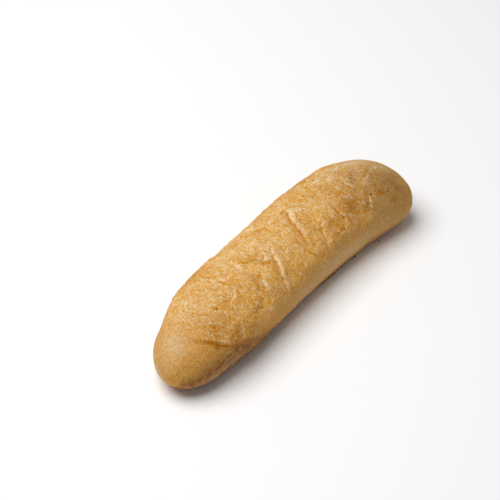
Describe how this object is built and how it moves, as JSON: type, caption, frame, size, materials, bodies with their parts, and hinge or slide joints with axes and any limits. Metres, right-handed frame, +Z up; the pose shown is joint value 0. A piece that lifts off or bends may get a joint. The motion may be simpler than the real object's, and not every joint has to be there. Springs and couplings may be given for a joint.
{
  "type": "tiger baguette",
  "caption": "Short, slightly bowed bread loaf with a crackled rice-paste crust, a tapered nose, a full far end and a flat base to lie on.",
  "frame": {"origin": "on the surface that the loaf lies on, under the middle of its bounding box", "axes": "+X along the loaf from its tapered end to its full end, +Y to the side it bows towards, +Z up"},
  "size_m": [0.253, 0.0742, 0.0532],
  "materials": {
    "crust": "matte golden crust, mottled cream and amber"
  },
  "bodies": {
    "root": {"loaf": "crust"}
  },
  "joints": []
}
